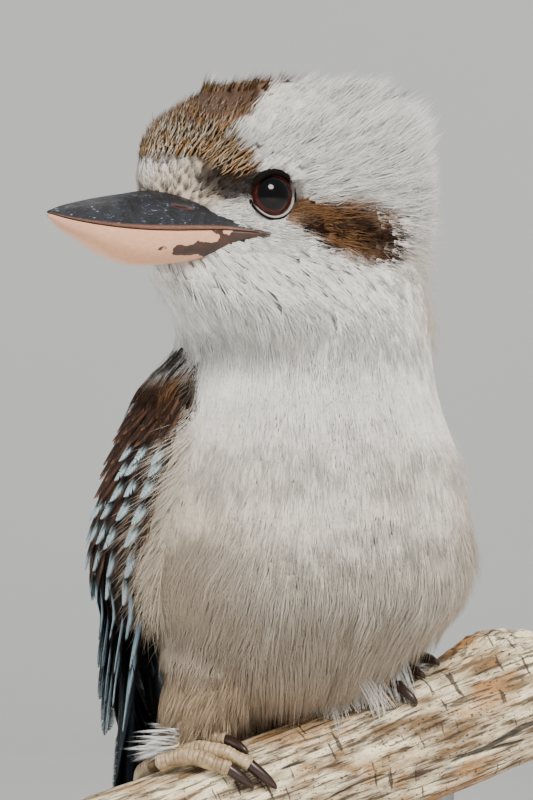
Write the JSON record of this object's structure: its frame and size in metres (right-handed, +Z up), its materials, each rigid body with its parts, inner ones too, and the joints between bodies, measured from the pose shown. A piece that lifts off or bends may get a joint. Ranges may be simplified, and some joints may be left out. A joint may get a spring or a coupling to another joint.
{
  "type": "laughing kookaburra model",
  "caption": "Life-size still model of a laughing kookaburra, perched upright on a cut length of weathered branch over a plain round display stand, head turned aside.",
  "frame": {"origin": "middle of the stand base's underside", "axes": "+Z up; the bird's breast faces mostly along -Y and its bill points towards -X and -Y"},
  "size_m": [0.224, 0.224, 0.3664],
  "materials": {
    "head_plumage": "white and brown feathers, lance-shaped on the crown",
    "breast_plumage": "soft white to buff feathers",
    "wing_plumage": "dark brown feathers with pale blue tips",
    "tail_plumage": "rufous feathers barred with black, white tips",
    "bill_slate": "scuffed slate-black horn",
    "bill_horn": "pinkish horn",
    "eye_brown": "dark brown glossy eye",
    "foot_scutes": "olive-yellow scuted skin",
    "claw_horn": "dark grey horn",
    "perch_wood": "weathered barkless branch",
    "stand_wood": "dark stained wood",
    "stand_steel": "brushed steel rod"
  },
  "bodies": {
    "root": {"bill_lower": "bill_horn", "bill_upper": "bill_slate", "claw_left_hind": "claw_horn", "claw_left_inner": "claw_horn", "claw_left_middle": "claw_horn", "claw_left_outer": "claw_horn", "claw_right_hind": "claw_horn", "claw_right_inner": "claw_horn", "claw_right_middle": "claw_horn", "claw_right_outer": "claw_horn", "eye_left": "eye_brown", "eye_right": "eye_brown", "foot_left": "foot_scutes", "foot_right": "foot_scutes", "head": "head_plumage", "neck": "breast_plumage", "perch": "perch_wood", "stand_base": "stand_wood", "stand_rod_1": "stand_steel", "stand_rod_2": "stand_steel", "tail": "tail_plumage", "thigh_left": "breast_plumage", "thigh_right": "breast_plumage", "torso": "breast_plumage", "wing_left": "wing_plumage", "wing_right": "wing_plumage"}
  },
  "joints": []
}
